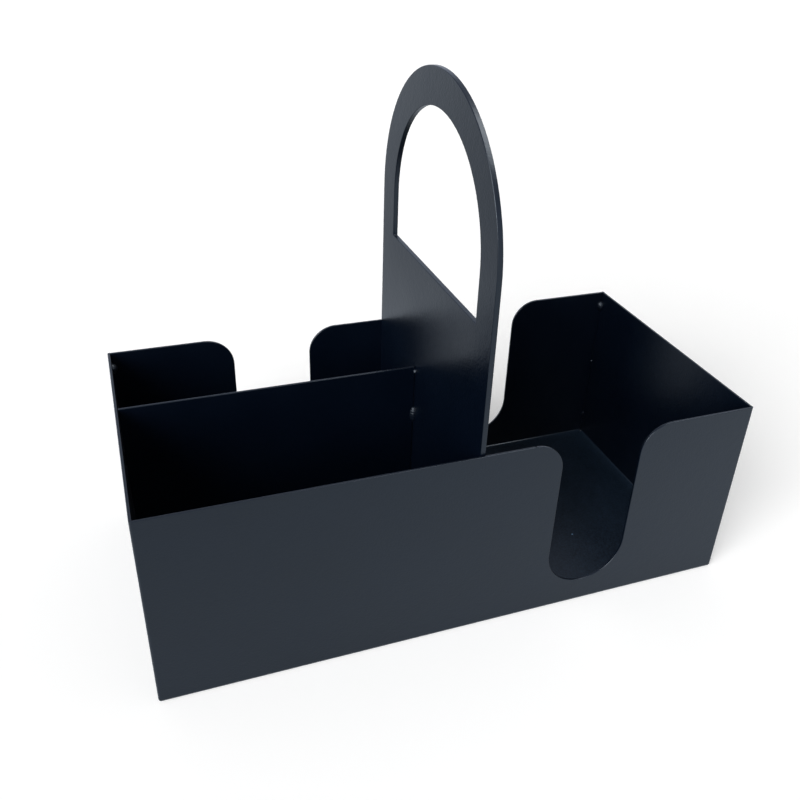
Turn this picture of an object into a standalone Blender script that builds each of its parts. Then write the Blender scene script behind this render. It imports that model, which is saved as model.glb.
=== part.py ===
"""A table caddy of folded and welded sheet steel: an open tray with U-shaped grip cut-outs, a cross plate that
rises to an arched carrying handle, one long divider in the left half, and the welds that join them.

Metres, +Z up. +X runs along the tray, -Y is its front, and the origin is under the middle of the tray."""

import math

import bmesh
import bpy
from mathutils import Matrix, Vector

# Folded tray
tray_length = 0.350
tray_depth = 0.170
tray_height = 0.1225
sheet = 0.0015
bend_inner_radius = 0.0010
bend_steps = 5

# Corners of the blank: a narrow mitre between two bends, with a round relief at its inner end
mitre_width = 0.0004
relief_radius = 0.0008
relief_steps = 16

# U-shaped grip cut-outs, each one's middle measured from the handle plate's left face
cutout_reach = 0.075
cutout_width = 0.050
cutout_sill_height = 0.017
cutout_lip_radius = 0.018
bowl_arc_steps = 22
lip_arc_steps = 9

# Cross plate with the arched handle
plate_thickness = 0.003
plate_left_face = 0.0013
handle_height = 0.300
handle_band = 0.0195
window_side_height = 0.0268
handle_arc_steps = 40

# Long divider
front_bay_depth = 0.0995

# Welds: round tacks in the corners and at the divider's end, and longer stitches at the plate and the divider
tack_radius = 0.0028
tack_length = 0.0056
stitch_radius = 0.0026
stitch_length = 0.0096
weld_steps = 8
top_tack_drop = 0.0105
end_tack_drop = 0.0034
low_tack_height = 0.0175
low_stitch_height = 0.0270
high_stitch_height = 0.0885
foot_stitch_inset = 0.0400
seam_arc_steps = 6

# Play between neighbours, the breaking of cut edges, and how far a cutter runs past what it cuts
fit_gap = 0.0003
edge_break = 0.00025
overrun = 0.004

# Powder coat: near-black with a little blue, satin
coat_colour = (0.0125, 0.0150, 0.0175, 1.0)
coat_roughness = 0.42

# Turns above this angle, in degrees, are edges: cut edges get broken, and shading breaks there
edge_angle = 35

bend_outer_radius = bend_inner_radius + sheet
half_length = tray_length / 2
half_depth = tray_depth / 2
inner_half_length = half_length - sheet
inner_half_depth = half_depth - sheet
plate_right_face = plate_left_face + plate_thickness
divider_front_face = front_bay_depth - inner_half_depth
divider_back_face = divider_front_face + sheet
foot_height = sheet + fit_gap
merge_distance = fit_gap / 100

RIGHT = Vector((1, 0, 0))
BACK = Vector((0, 1, 0))
UP = Vector((0, 0, 1))

# Each upright corner by its signs of X and Y, a quarter turn apart
corners = {"back_right": (1, 1), "back_left": (-1, 1), "front_left": (-1, -1), "front_right": (1, -1)}


def clear_scene():
    for old in list(bpy.data.objects):
        bpy.data.objects.remove(old)


def new_collection(name):
    made = bpy.data.collections.new(name)
    bpy.context.scene.collection.children.link(made)
    return made


def add_object(name, mesh, collection):
    made = bpy.data.objects.new(name, mesh)
    collection.objects.link(made)
    return made


def add_cutter(name, mesh):
    made = add_object(name, mesh, cutters)
    made.hide_render = True
    made.display_type = "WIRE"
    return made


def mesh_from(name, shape):
    """A mesh of a bmesh, its faces turned outwards."""
    bmesh.ops.recalc_face_normals(shape, faces=shape.faces)
    mesh = bpy.data.meshes.new(name)
    shape.to_mesh(mesh)
    shape.free()
    return mesh


def add_box(shape, low, high):
    """Adds a box to a bmesh and returns its vertices."""
    middle = (low + high) / 2
    place = Matrix.Translation(middle) @ Matrix.Diagonal((*(high - low), 1))
    return bmesh.ops.create_cube(shape, size=1, matrix=place)["verts"]


def arc(centre_x, centre_y, radius, start, end, steps):
    """Points on an arc, both its ends among them, from one angle in degrees to another."""
    turns = [math.radians(start + (end - start) * step / steps) for step in range(steps + 1)]
    return [(centre_x + radius * math.cos(turn), centre_y + radius * math.sin(turn)) for turn in turns]


def flat_mesh(name, loops, thickness):
    """A flat cut shape: its outlines filled as a 2D curve, extruded about the middle plane and made a mesh."""
    curve = bpy.data.curves.new(name, "CURVE")
    curve.dimensions = "2D"
    curve.fill_mode = "BOTH"
    curve.extrude = thickness / 2
    for loop in loops:
        spline = curve.splines.new("POLY")
        spline.points.add(len(loop) - 1)
        for point, (across, along) in zip(spline.points, loop):
            point.co = (across, along, 0, 1)
        spline.use_cyclic_u = True
    outline = add_object(name, curve, cutters)
    graph = bpy.context.evaluated_depsgraph_get()
    filled = bpy.data.meshes.new_from_object(outline.evaluated_get(graph))
    bpy.data.objects.remove(outline)
    shape = bmesh.new()
    shape.from_mesh(filled)
    bpy.data.meshes.remove(filled)
    bmesh.ops.remove_doubles(shape, verts=shape.verts, dist=merge_distance)
    return mesh_from(name, shape)


def stand_lengthwise(item, middle_y):
    """Turns a flat shape upright, its outline in X and Z."""
    item.rotation_euler = (math.radians(90), 0, 0)
    item.location = (0, middle_y, 0)


def stand_across(item, middle_x):
    """Turns a flat shape upright, its outline in Y and Z."""
    item.rotation_euler = (math.radians(90), 0, math.radians(90))
    item.location = (middle_x, 0, 0)


def add_boolean(item, operation, other):
    change = item.modifiers.new(other.name, "BOOLEAN")
    change.operation = operation
    change.object = other
    change.solver = "EXACT"


def break_edges(item):
    """Breaks the cut edges, as deburring and the coat leave them."""
    chamfer = item.modifiers.new("broken_edges", "BEVEL")
    chamfer.width = edge_break
    chamfer.segments = 1
    chamfer.limit_method = "ANGLE"
    chamfer.angle_limit = math.radians(edge_angle)
    chamfer.use_clamp_overlap = False


def powder_coat(mesh):
    coat = bpy.data.materials.new(mesh.name + "_coat")
    coat.use_nodes = True
    surface = coat.node_tree.nodes["Principled BSDF"]
    surface.inputs["Base Color"].default_value = coat_colour
    surface.inputs["Roughness"].default_value = coat_roughness
    surface.inputs["Metallic"].default_value = 0
    coat.diffuse_color = coat_colour
    mesh.materials.append(coat)


def shade(mesh):
    mesh.shade_smooth()
    mesh.set_sharp_from_angle(angle=math.radians(edge_angle))


def lies_at(edge, height):
    return all(abs(end.co.z - height) < merge_distance for end in edge.verts)


def folded_box(height):
    """The tray's outer form: a box whose four bottom edges are rounded to the outer bend radius."""
    shape = bmesh.new()
    add_box(shape, Vector((-half_length, -half_depth, 0)), Vector((half_length, half_depth, height)))
    bmesh.ops.bevel(
        shape,
        geom=[edge for edge in shape.edges if lies_at(edge, 0)],
        offset=bend_outer_radius,
        segments=bend_steps,
        profile=0.5,
        affect="EDGES",
    )
    return shape


def corner_columns():
    """The square void outside the walls' inner faces, where the upright edges of two walls stop."""
    shape = bmesh.new()
    for sign_x, sign_y in corners.values():
        reach_x = sign_x * (half_length + overrun)
        reach_y = sign_y * (half_depth + overrun)
        near_x = sign_x * inner_half_length
        near_y = sign_y * inner_half_depth
        low = Vector((min(near_x, reach_x), min(near_y, reach_y), -overrun))
        high = Vector((max(near_x, reach_x), max(near_y, reach_y), tray_height + overrun))
        add_box(shape, low, high)
    return add_cutter("cut_corner_columns", mesh_from("cut_corner_columns", shape))


def bend_crossing(sign_x, sign_y):
    """Where the bend lines of two walls cross, on the floor's underside."""
    return Vector((sign_x * (half_length - bend_outer_radius), sign_y * (half_depth - bend_outer_radius), 0))


def mitre_slits():
    """Upright slits along the corners' diagonals, from where two bend lines cross to past the corner."""
    shape = bmesh.new()
    reach = math.hypot(bend_outer_radius, bend_outer_radius) + overrun
    low = Vector((0, -mitre_width / 2, -overrun))
    high = Vector((reach, mitre_width / 2, tray_height + overrun))
    for sign_x, sign_y in corners.values():
        turn = Matrix.Rotation(math.atan2(sign_y, sign_x), 4, "Z")
        place = Matrix.Translation(bend_crossing(sign_x, sign_y)) @ turn
        bmesh.ops.transform(shape, matrix=place, verts=add_box(shape, low, high))
    return add_cutter("cut_mitre_slits", mesh_from("cut_mitre_slits", shape))


def corner_reliefs():
    """Round holes through the floor where two bend lines cross."""
    shape = bmesh.new()
    for sign_x, sign_y in corners.values():
        bmesh.ops.create_cone(
            shape,
            cap_ends=True,
            segments=relief_steps,
            radius1=relief_radius,
            radius2=relief_radius,
            depth=2 * (sheet + overrun),
            matrix=Matrix.Translation(bend_crossing(sign_x, sign_y)),
        )
    return add_cutter("cut_corner_reliefs", mesh_from("cut_corner_reliefs", shape))


def grip_outline():
    """A U about its own middle: half a circle below, straight sides, and lips that flare into the rim."""
    half_width = cutout_width / 2
    lip_middle = half_width + cutout_lip_radius
    lip_height = tray_height - cutout_lip_radius
    return [
        (-lip_middle, tray_height + overrun),
        *arc(-lip_middle, lip_height, cutout_lip_radius, 90, 0, lip_arc_steps),
        *arc(0, cutout_sill_height + half_width, half_width, 180, 360, bowl_arc_steps),
        *arc(lip_middle, lip_height, cutout_lip_radius, 180, 90, lip_arc_steps),
        (lip_middle, tray_height + overrun),
    ]


def grip_cutter(name, middle_x, wall_y):
    """Cuts one grip through the wall whose middle plane lies at wall_y."""
    cutter = add_cutter(name, flat_mesh(name, [grip_outline()], sheet + 2 * overrun))
    stand_lengthwise(cutter, wall_y)
    cutter.location.x = middle_x
    return cutter


def make_tray():
    """The tray, folded from one blank: an open box of sheet, slit and relieved at its corners, with three grips."""
    shape = folded_box(tray_height)
    open_top = [face for face in shape.faces if all(lies_at(edge, tray_height) for edge in face.edges)]
    bmesh.ops.delete(shape, geom=open_top, context="FACES_ONLY")
    tray = add_object("folded_tray", mesh_from("folded_tray", shape), caddy)

    wall = tray.modifiers.new("sheet_thickness", "SOLIDIFY")
    wall.thickness = sheet
    wall.offset = -1
    wall.use_even_offset = True

    right_middle = plate_left_face + cutout_reach
    left_middle = plate_left_face - cutout_reach
    wall_middle = half_depth - sheet / 2
    add_boolean(tray, "DIFFERENCE", grip_cutter("cut_grip_front_right", right_middle, -wall_middle))
    add_boolean(tray, "DIFFERENCE", grip_cutter("cut_grip_back_right", right_middle, wall_middle))
    add_boolean(tray, "DIFFERENCE", grip_cutter("cut_grip_back_left", left_middle, wall_middle))
    break_edges(tray)
    for cutter in (corner_columns(), mitre_slits(), corner_reliefs()):
        add_boolean(tray, "DIFFERENCE", cutter)
    powder_coat(tray.data)
    shade(tray.data)


def make_seams():
    """The upright corners: weld laid in the void between two walls' edges and ground to a quarter round."""
    envelope = folded_box(tray_height + overrun)
    form = add_cutter("seam_envelope", mesh_from("seam_envelope", envelope))
    slack = math.degrees(math.asin(fit_gap / sheet))
    section = [(fit_gap, fit_gap), *arc(0, 0, sheet, slack, 90 - slack, seam_arc_steps)]
    mesh = flat_mesh("corner_seam", [section], tray_height)
    powder_coat(mesh)
    shade(mesh)
    for corner, (sign_x, sign_y) in corners.items():
        seam = add_object("corner_seam_" + corner, mesh, caddy)
        seam.location = (sign_x * inner_half_length, sign_y * inner_half_depth, tray_height / 2)
        seam.rotation_euler.z = math.atan2(sign_y, sign_x) - math.radians(45)
        add_boolean(seam, "INTERSECT", form)


def make_handle_plate():
    """The cross plate, cut in one with its arch and the window over its flat sill."""
    half_width = inner_half_depth - fit_gap
    window_half_width = half_width - handle_band
    arch_height = handle_height - half_width
    sill_height = arch_height - window_side_height
    outside = [
        (-half_width + bend_outer_radius, foot_height),
        (half_width - bend_outer_radius, foot_height),
        (half_width, foot_height + bend_outer_radius),
        *arc(0, arch_height, half_width, 0, 180, handle_arc_steps),
        (-half_width, foot_height + bend_outer_radius),
    ]
    window = [
        (-window_half_width, sill_height),
        (window_half_width, sill_height),
        *arc(0, arch_height, window_half_width, 0, 180, handle_arc_steps),
    ]
    plate = add_object("handle_plate", flat_mesh("handle_plate", [outside, window], plate_thickness), caddy)
    stand_across(plate, plate_left_face + plate_thickness / 2)
    break_edges(plate)
    powder_coat(plate.data)
    shade(plate.data)


def make_divider():
    """The divider, from the left end wall to the handle plate, its lower corner cut off to clear the bend."""
    left = fit_gap - inner_half_length
    right = plate_left_face - fit_gap
    outline = [
        (left + bend_outer_radius, foot_height),
        (right, foot_height),
        (right, tray_height),
        (left, tray_height),
        (left, foot_height + bend_outer_radius),
    ]
    divider = add_object("long_divider", flat_mesh("long_divider", [outline], sheet), caddy)
    stand_lengthwise(divider, divider_front_face + sheet / 2)
    break_edges(divider)
    powder_coat(divider.data)
    shade(divider.data)


def weld_mesh(name, radius, length):
    """A weld nugget: the quarter of a long ball that lies between two faces square to each other, clear of both."""
    ball = bmesh.new()
    bmesh.ops.create_uvsphere(
        ball,
        u_segments=4 * weld_steps,
        v_segments=2 * weld_steps,
        radius=1,
        matrix=Matrix.Diagonal((radius, radius, length / 2, 1)),
    )
    for normal in (RIGHT, BACK):
        cut = bmesh.ops.bisect_plane(
            ball,
            geom=[*ball.verts, *ball.edges, *ball.faces],
            plane_co=normal * fit_gap,
            plane_no=normal,
            clear_inner=True,
            dist=merge_distance,
        )
        rim = [item for item in cut["geom_cut"] if isinstance(item, bmesh.types.BMEdge)]
        bmesh.ops.contextual_create(ball, geom=rim)
    mesh = mesh_from(name, ball)
    powder_coat(mesh)
    shade(mesh)
    return mesh


def lay_weld(name, mesh, place, first, second):
    """Lays a nugget on the joint of two faces, with first and second pointing away from them."""
    weld = add_object(name, mesh, caddy)
    turn = Matrix((first, second, first.cross(second))).transposed().to_4x4()
    weld.matrix_world = Matrix.Translation(place) @ turn


def make_tacks():
    """Three tacks down the inside of each upright corner, and one at the top of the divider's end on the plate."""
    tack = weld_mesh("tack", tack_radius, tack_length)
    top = tray_height - top_tack_drop
    heights = {"low": low_tack_height, "middle": (low_tack_height + top) / 2, "top": top}
    for corner, (sign_x, sign_y) in corners.items():
        for level, height in heights.items():
            place = (sign_x * inner_half_length, sign_y * inner_half_depth, height)
            lay_weld(f"corner_tack_{corner}_{level}", tack, place, -sign_x * RIGHT, -sign_y * BACK)
    end_place = (plate_left_face, divider_front_face, tray_height - end_tack_drop)
    lay_weld("divider_tack_plate_top", tack, end_place, -RIGHT, -BACK)


def make_stitches():
    """Stitches down the handle plate's right side, down both ends of the divider, and along their feet."""
    stitch = weld_mesh("stitch", stitch_radius, stitch_length)
    for level, height in {"low": low_stitch_height, "high": high_stitch_height}.items():
        front = (plate_right_face, -inner_half_depth, height)
        back = (plate_right_face, inner_half_depth, height)
        plate_end = (plate_left_face, divider_front_face, height)
        wall_end = (-inner_half_length, divider_back_face, height)
        lay_weld(f"plate_stitch_front_{level}", stitch, front, RIGHT, BACK)
        lay_weld(f"plate_stitch_back_{level}", stitch, back, RIGHT, -BACK)
        lay_weld(f"divider_stitch_plate_{level}", stitch, plate_end, -RIGHT, -BACK)
        lay_weld(f"divider_stitch_wall_{level}", stitch, wall_end, RIGHT, BACK)
    for side, sign in {"front": -1, "back": 1}.items():
        plate_foot = (plate_right_face, sign * (inner_half_depth - foot_stitch_inset), sheet)
        lay_weld(f"plate_stitch_foot_{side}", stitch, plate_foot, RIGHT, UP)
    divider_feet = {
        "left": foot_stitch_inset - inner_half_length,
        "right": plate_left_face - foot_stitch_inset,
    }
    for side, place_x in divider_feet.items():
        place = (place_x, divider_back_face, sheet)
        lay_weld(f"divider_stitch_foot_{side}", stitch, place, BACK, UP)


clear_scene()
caddy = new_collection("organizer_bin_with_handle")
cutters = new_collection("cutters")
make_tray()
make_handle_plate()
make_divider()
make_seams()
make_tacks()
make_stitches()
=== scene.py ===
"""Dresses a table caddy of folded and welded sheet steel: its powder-coated sheets, its ground corner
seams, its weld tacks and stitches, and the pale floor that it stands on.

Metres, +Z up. +X runs along the tray, -Y is its front, and the origin is under the middle of the tray."""

import math

import bmesh
import bpy
from bpy.props import FloatProperty, FloatVectorProperty, IntProperty, PointerProperty
from mathutils import Matrix, Vector


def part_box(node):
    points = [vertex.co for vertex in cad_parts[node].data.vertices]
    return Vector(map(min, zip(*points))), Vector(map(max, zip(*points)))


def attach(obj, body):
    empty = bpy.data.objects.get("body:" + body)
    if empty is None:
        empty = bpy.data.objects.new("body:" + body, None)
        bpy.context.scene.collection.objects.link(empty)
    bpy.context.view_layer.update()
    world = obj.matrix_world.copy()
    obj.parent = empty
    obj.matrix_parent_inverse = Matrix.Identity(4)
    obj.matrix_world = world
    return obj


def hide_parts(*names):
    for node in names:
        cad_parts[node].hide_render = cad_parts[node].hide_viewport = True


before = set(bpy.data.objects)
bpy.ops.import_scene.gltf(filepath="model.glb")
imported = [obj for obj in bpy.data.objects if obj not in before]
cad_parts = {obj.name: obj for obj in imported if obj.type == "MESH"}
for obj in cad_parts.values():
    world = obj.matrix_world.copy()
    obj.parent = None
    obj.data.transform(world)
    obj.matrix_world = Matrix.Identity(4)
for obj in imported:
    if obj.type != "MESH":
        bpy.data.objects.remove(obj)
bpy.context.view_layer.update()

bl_info = {
    "name": "Handled Table Caddy",
    "version": (1, 0, 0),
    "blender": (4, 5, 0),
    "location": "3D View > Sidebar > Caddy",
    "description": "Makes the coated sheets, seams and welds of a handled table caddy, and its stage",
    "category": "Object",
}

# The frame: the sheets as they were built
tray_low, tray_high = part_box("folded_tray")
plate_low, plate_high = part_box("handle_plate")
divider_low, divider_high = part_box("long_divider")
body_name = "root"

half_length = tray_high.x
half_depth = tray_high.y
tray_height = tray_high.z
sheet = divider_high.y - divider_low.y
plate_thickness = plate_high.x - plate_low.x
inner_half_length = half_length - sheet
inner_half_depth = half_depth - sheet
corner_signs = {"back_right": (1, 1), "back_left": (-1, 1), "front_left": (-1, -1), "front_right": (1, -1)}

RIGHT = Vector((1, 0, 0))
BACK = Vector((0, 1, 0))
UP = Vector((0, 0, 1))

overrun = 0.004
merge_distance = 0.000002
smooth_below = math.radians(38)
quarter_turn = math.pi / 2
bend_steps = 10
arc_steps = 48
grip_arc_steps = 32
rim_steps = 3


# Kinds of settings


def length_setting(name, description, default):
    return FloatProperty(name=name, description=description, default=default, unit="LENGTH")


def share_setting(name, description, default):
    return FloatProperty(
        name=name, description=description, default=default, min=0, max=1, subtype="FACTOR"
    )


def level_setting(name, description, default):
    return FloatProperty(name=name, description=description, default=default, min=0)


def angle_setting(name, description, degrees):
    return FloatProperty(
        name=name, description=description, default=math.radians(degrees), subtype="ANGLE"
    )


def colour_setting(name, description, default):
    return FloatVectorProperty(
        name=name, description=description, default=default, subtype="COLOR", size=3, min=0, max=1
    )


def place_setting(name, description, default):
    return FloatVectorProperty(
        name=name, description=description, default=default, subtype="TRANSLATION", size=len(default)
    )


# Sizes and colours that a user would change


class CaddyTraySizes(bpy.types.PropertyGroup):
    bend_radius: length_setting("Bend Radius", "Outer radius of the bends between floor and walls", 0.0025)
    rim_round: length_setting("Rim Rounding", "Radius to which the cut edges are coated over", 0.00038)
    grip_reach: length_setting("Grip Reach", "From the plate's left face to each cut-out's middle", 0.075)
    grip_width: length_setting("Grip Width", "Width of each cut-out between its straight sides", 0.050)
    grip_sill_height: length_setting("Grip Sill Height", "From the table to a cut-out's low point", 0.017)
    grip_lip_radius: length_setting("Grip Lip Radius", "Radius by which a cut-out flares to the rim", 0.018)
    mitre_width: length_setting("Mitre Width", "Width of the slit between two bends at a corner", 0.0004)
    relief_radius: length_setting("Relief Radius", "Radius of the hole where two bend lines cross", 0.0008)


class CaddyHandleSizes(bpy.types.PropertyGroup):
    band_width: length_setting("Band Width", "Width of the band round the handle's window", 0.0195)
    window_side_height: length_setting("Window Side Height", "From the window's sill to its arch", 0.0268)
    edge_round: length_setting("Edge Rounding", "Radius to which its cut edges are coated over", 0.00045)


class CaddyWeldSizes(bpy.types.PropertyGroup):
    tack_radius: length_setting("Tack Radius", "Leg of a round tack", 0.0028)
    tack_length: length_setting("Tack Length", "Length of a round tack", 0.0056)
    stitch_radius: length_setting("Stitch Radius", "Leg of a long stitch", 0.0026)
    stitch_length: length_setting("Stitch Length", "Length of a long stitch", 0.0096)
    unevenness: length_setting("Unevenness", "How far a weld's skin strays from its form", 0.00035)
    seam_wave: length_setting("Seam Wave", "How far the ground seams stray from true", 0.00005)
    seed: IntProperty(name="Seed", description="Starts the welds' random forms", default=7)


class CaddyCoat(bpy.types.PropertyGroup):
    colour: colour_setting("Coat Colour", "Colour of the powder coat", (0.0004, 0.0020, 0.0060))
    roughness: share_setting("Coat Roughness", "Roughness of the satin skin", 0.30)
    refraction: FloatProperty(
        name="Coat Refractive Index", description="How strongly the skin mirrors", default=1.5, min=1, max=2
    )
    sheen_tint: colour_setting("Mirror Tint", "Colour of the skin's mirror square on", (0.83, 0.92, 1.0))
    grain_width: length_setting("Grain Width", "Width of one hump of the coat's texture", 0.0011)
    grain_depth: length_setting("Grain Depth", "Height of the coat's texture", 0.00006)
    cloud_width: length_setting("Cloud Width", "Width of the slow changes of tone and gloss", 0.045)
    tone_change: share_setting("Tone Change", "How much the coat's tone changes", 0.12)
    roughness_change: share_setting("Roughness Change", "How much the coat's roughness changes", 0.03)
    # Dust and painted light: real specks of dust, plus faces that look up near the table painted lighter
    # and a painted highlight band along the walls' feet
    dust: colour_setting("Dust", "What a film of dust adds to the colour", (0.0075, 0.0135, 0.0220))
    dust_and_painted_lift_top: length_setting("Dust and Painted Lift Top", "Height above the table to which dust lies", 0.010)
    speck_spacing: length_setting("Speck Spacing", "Side of a square that holds one speck at most", 0.035)
    speck_radius: length_setting("Speck Radius", "Radius of the specks of dust", 0.0004)


class CaddyStageSizes(bpy.types.PropertyGroup):
    floor_width: length_setting("Floor Width", "Side of the floor", 16.0)
    floor_tone: share_setting("Floor Tone", "How pale the floor is", 0.8)
    floor_glow: share_setting("Floor Glow", "White added to the floor as the camera sees it", 0.27)
    sky_strength: level_setting("Sky Strength", "Light from all round", 0.40)
    mirror_tint: colour_setting("Mirror Tint", "Tint of floor and room in the coat", (0.82, 0.90, 1.0))
    room_tint: colour_setting("Room Tint", "Tint of the room overhead in the coat", (0.72, 0.80, 1.0))
    mirror_depths: place_setting("Mirror Depths", "Depths on the mirrored floor", (-0.24, 0.24, 0.50, 1.8))
    mirror_shares: FloatVectorProperty(
        name="Mirror Shares",
        description="Brightness of the mirrored floor at those depths",
        default=(0.93, 0.76, 0.55, 0.76),
        size=4,
        min=0,
        max=1,
    )
    mirror_slope: share_setting("Slope", "How much brighter the right of the mirrored floor is", 0.16)
    mirror_slope_end: length_setting("Slope End", "From the middle to where that slope ends", 0.3)
    shade_front: share_setting("Shade in Front", "Mirrored darkening at the tray's front foot", 0.18)
    shade_behind: share_setting("Shade Behind", "Mirrored darkening in the tray's shadow", 0.5)
    shade_reach: place_setting("Shade Reach", "How far the shade reaches right and behind", (0.12, 0.09))
    shade_edge: length_setting("Shade Edge", "Distance in which the shade falls to about a third", 0.03)
    room_low: share_setting("Room Below", "Mirrored brightness of the room low down", 1.0)
    room_high: share_setting("Room Above", "Mirrored brightness of the room overhead", 0.56)
    key_strength: level_setting("Key Strength", "Light from the left, in watts a square metre", 3.9)
    key_spread: angle_setting("Key Spread", "How wide the left light looks from the caddy", 45)
    card_power: FloatProperty(
        name="Card Power", description="Pale card that only gloss shows", default=16.0, unit="POWER"
    )
    card_width: length_setting("Card Width", "Side of the card", 1.0)
    card_distance: length_setting("Card Distance", "From the caddy to the card", 1.8)
    camera_place: place_setting("Camera Place", "Where the camera stands", (-0.16580, -0.41334, 0.37861))
    camera_aim: place_setting("Camera Aim", "A point that the camera looks at", (0.00947, 0.03421, 0.09123))
    camera_roll: angle_setting("Camera Roll", "Turn about the line of sight", 2.559)
    focal_length: level_setting("Focal Length", "In millimetres, for a 36 mm sensor", 38.625)
    shift: FloatVectorProperty(
        name="Shift", description="Of the lens, in frame widths", default=(-0.01974, -0.0077), size=2
    )


class CaddySettings(bpy.types.PropertyGroup):
    tray: PointerProperty(type=CaddyTraySizes, name="Tray", description="Sizes of the folded tray")
    handle: PointerProperty(type=CaddyHandleSizes, name="Handle", description="Sizes of the handle plate")
    welds: PointerProperty(type=CaddyWeldSizes, name="Welds", description="Sizes of the welds")
    coat: PointerProperty(type=CaddyCoat, name="Coat", description="The powder coat")
    stage: PointerProperty(type=CaddyStageSizes, name="Stage", description="Floor, light and camera")


# Helpers for meshes


def add_object(name, mesh):
    made = bpy.data.objects.new(name, mesh)
    bpy.context.scene.collection.objects.link(made)
    return made


def mesh_from(name, shape):
    """A mesh of a bmesh, its faces turned outwards."""
    bmesh.ops.recalc_face_normals(shape, faces=shape.faces)
    mesh = bpy.data.meshes.new(name)
    shape.to_mesh(mesh)
    shape.free()
    return mesh


def points_mesh(name, places):
    mesh = bpy.data.meshes.new(name)
    mesh.from_pydata(places, [], [])
    return mesh


def add_box(shape, low, high):
    """Adds a box to a bmesh and returns its vertices."""
    place = Matrix.Translation((low + high) / 2) @ Matrix.Diagonal((*(high - low), 1))
    return bmesh.ops.create_cube(shape, size=1, matrix=place)["verts"]


def settle(item):
    """Turns an object's evaluated form into its own plain mesh, with its place in the mesh."""
    graph = bpy.context.evaluated_depsgraph_get()
    settled = bpy.data.meshes.new_from_object(item.evaluated_get(graph))
    item.modifiers.clear()
    item.data = settled
    settled.transform(item.matrix_basis)
    item.matrix_basis = Matrix.Identity(4)
    return item


def cut_with(item, cutter):
    change = item.modifiers.new(cutter.name, "BOOLEAN")
    change.operation = "DIFFERENCE"
    change.object = cutter
    change.solver = "EXACT"


def round_edges(item, width, is_cut_edge):
    """Rounds the cut edges, as deburring and the coat leave them. is_cut_edge tells them from the rest."""
    shape = bmesh.new()
    shape.from_mesh(item.data)
    weights = shape.edges.layers.float.new("bevel_weight_edge")
    for edge in shape.edges:
        if edge.calc_face_angle(0) > smooth_below and is_cut_edge(*(end.co for end in edge.verts)):
            edge[weights] = 1
    shape.to_mesh(item.data)
    shape.free()
    change = item.modifiers.new("rounded_edges", "BEVEL")
    change.width = width
    change.segments = rim_steps
    change.limit_method = "WEIGHT"
    change.use_clamp_overlap = False


def every_edge(start, end):
    return True


def even_shading(item):
    """Smooth shading in which the broad flat faces stay flat."""
    item.data.shade_smooth()
    item.data.set_sharp_from_angle(angle=smooth_below)
    change = item.modifiers.new("even_shading", "WEIGHTED_NORMAL")
    change.keep_sharp = True
    settle(item)


def finish_piece(item, material, slot, *nodes):
    """Coats a finished piece, sets it on the caddy's body and has it stand for its nodes."""
    item.data.materials.clear()
    item.data.materials.append(material)
    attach(item, body_name)
    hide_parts(*nodes)


# Helpers for node trees

socket_types = {float: "NodeSocketFloat", int: "NodeSocketInt", tuple: "NodeSocketColor"}


class Wires:
    """Lays nodes in a tree and joins them. An input takes a plain value or another node's output."""

    def __init__(self, tree):
        self.tree = tree

    def node(self, kind, inputs=None, **settings):
        made = self.tree.nodes.new(kind)
        for name, value in settings.items():
            setattr(made, name, value)
        for key, value in (inputs or {}).items():
            self.feed(made.inputs[key], value)
        return made

    def feed(self, socket, value):
        if isinstance(value, bpy.types.NodeSocket):
            self.tree.links.new(value, socket)
        else:
            socket.default_value = value

    def form(self, kind, inputs=None, **settings):
        """What a geometry node puts out first."""
        return self.node("GeometryNode" + kind, inputs, **settings).outputs[0]

    def joined(self, forms):
        whole = self.node("GeometryNodeJoinGeometry")
        for item in forms:
            self.tree.links.new(item, whole.inputs[0])
        return whole.outputs[0]

    def math(self, operation, *values):
        return self.node("ShaderNodeMath", dict(enumerate(values)), operation=operation).outputs[0]

    def plus(self, first, second):
        return self.math("ADD", first, second)

    def minus(self, first, second):
        return self.math("SUBTRACT", first, second)

    def times(self, first, second):
        return self.math("MULTIPLY", first, second)

    def over(self, first, second):
        return self.math("DIVIDE", first, second)

    def times_plus(self, first, second, third):
        return self.math("MULTIPLY_ADD", first, second, third)

    def at_least_zero(self, value):
        return self.math("MAXIMUM", value, 0.0)

    def ramp(self, value, start, end, low, high):
        """Goes smoothly from low to high as value goes from start to end."""
        inputs = {"Value": value, "From Min": start, "From Max": end, "To Min": low, "To Max": high}
        return self.node("ShaderNodeMapRange", inputs, interpolation_type="SMOOTHSTEP").outputs[0]

    def vector(self, x=0.0, y=0.0, z=0.0):
        return self.node("ShaderNodeCombineXYZ", {"X": x, "Y": y, "Z": z}).outputs[0]

    def parts(self, vector):
        """A vector's X, Y and Z."""
        return self.node("ShaderNodeSeparateXYZ", {0: vector}).outputs

    def scaled(self, vector, factor):
        return self.node("ShaderNodeVectorMath", {0: vector, "Scale": factor}, operation="SCALE").outputs[0]

    def noise(self, start, scale, detail, roughness, **place):
        """Noise from 0 to 1, by the tree's own positions unless a place is given."""
        inputs = {"W": start, "Scale": scale, "Detail": detail, "Roughness": roughness, **place}
        return self.node("ShaderNodeTexNoise", inputs, noise_dimensions="4D").outputs["Fac"]


def new_material(name):
    """A material with the wires of its nodes and its Principled BSDF."""
    material = bpy.data.materials.new(name)
    material.use_nodes = True
    return material, Wires(material.node_tree), material.node_tree.nodes["Principled BSDF"]


def new_tree(name, kind, inputs, outputs):
    """A node group with named sockets. An input is given by its default, or by its type if it has none."""
    tree = bpy.data.node_groups.new(name, kind)
    for label, value in inputs.items():
        socket_type = socket_types.get(type(value), value)
        socket = tree.interface.new_socket(label, in_out="INPUT", socket_type=socket_type)
        if socket_type is not value:
            socket.default_value = value
    for label, socket_type in outputs.items():
        tree.interface.new_socket(label, in_out="OUTPUT", socket_type=socket_type)
    wires = Wires(tree)
    given = wires.node("NodeGroupInput").outputs
    result = wires.node("NodeGroupOutput").inputs
    return tree, wires, given, result


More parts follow.
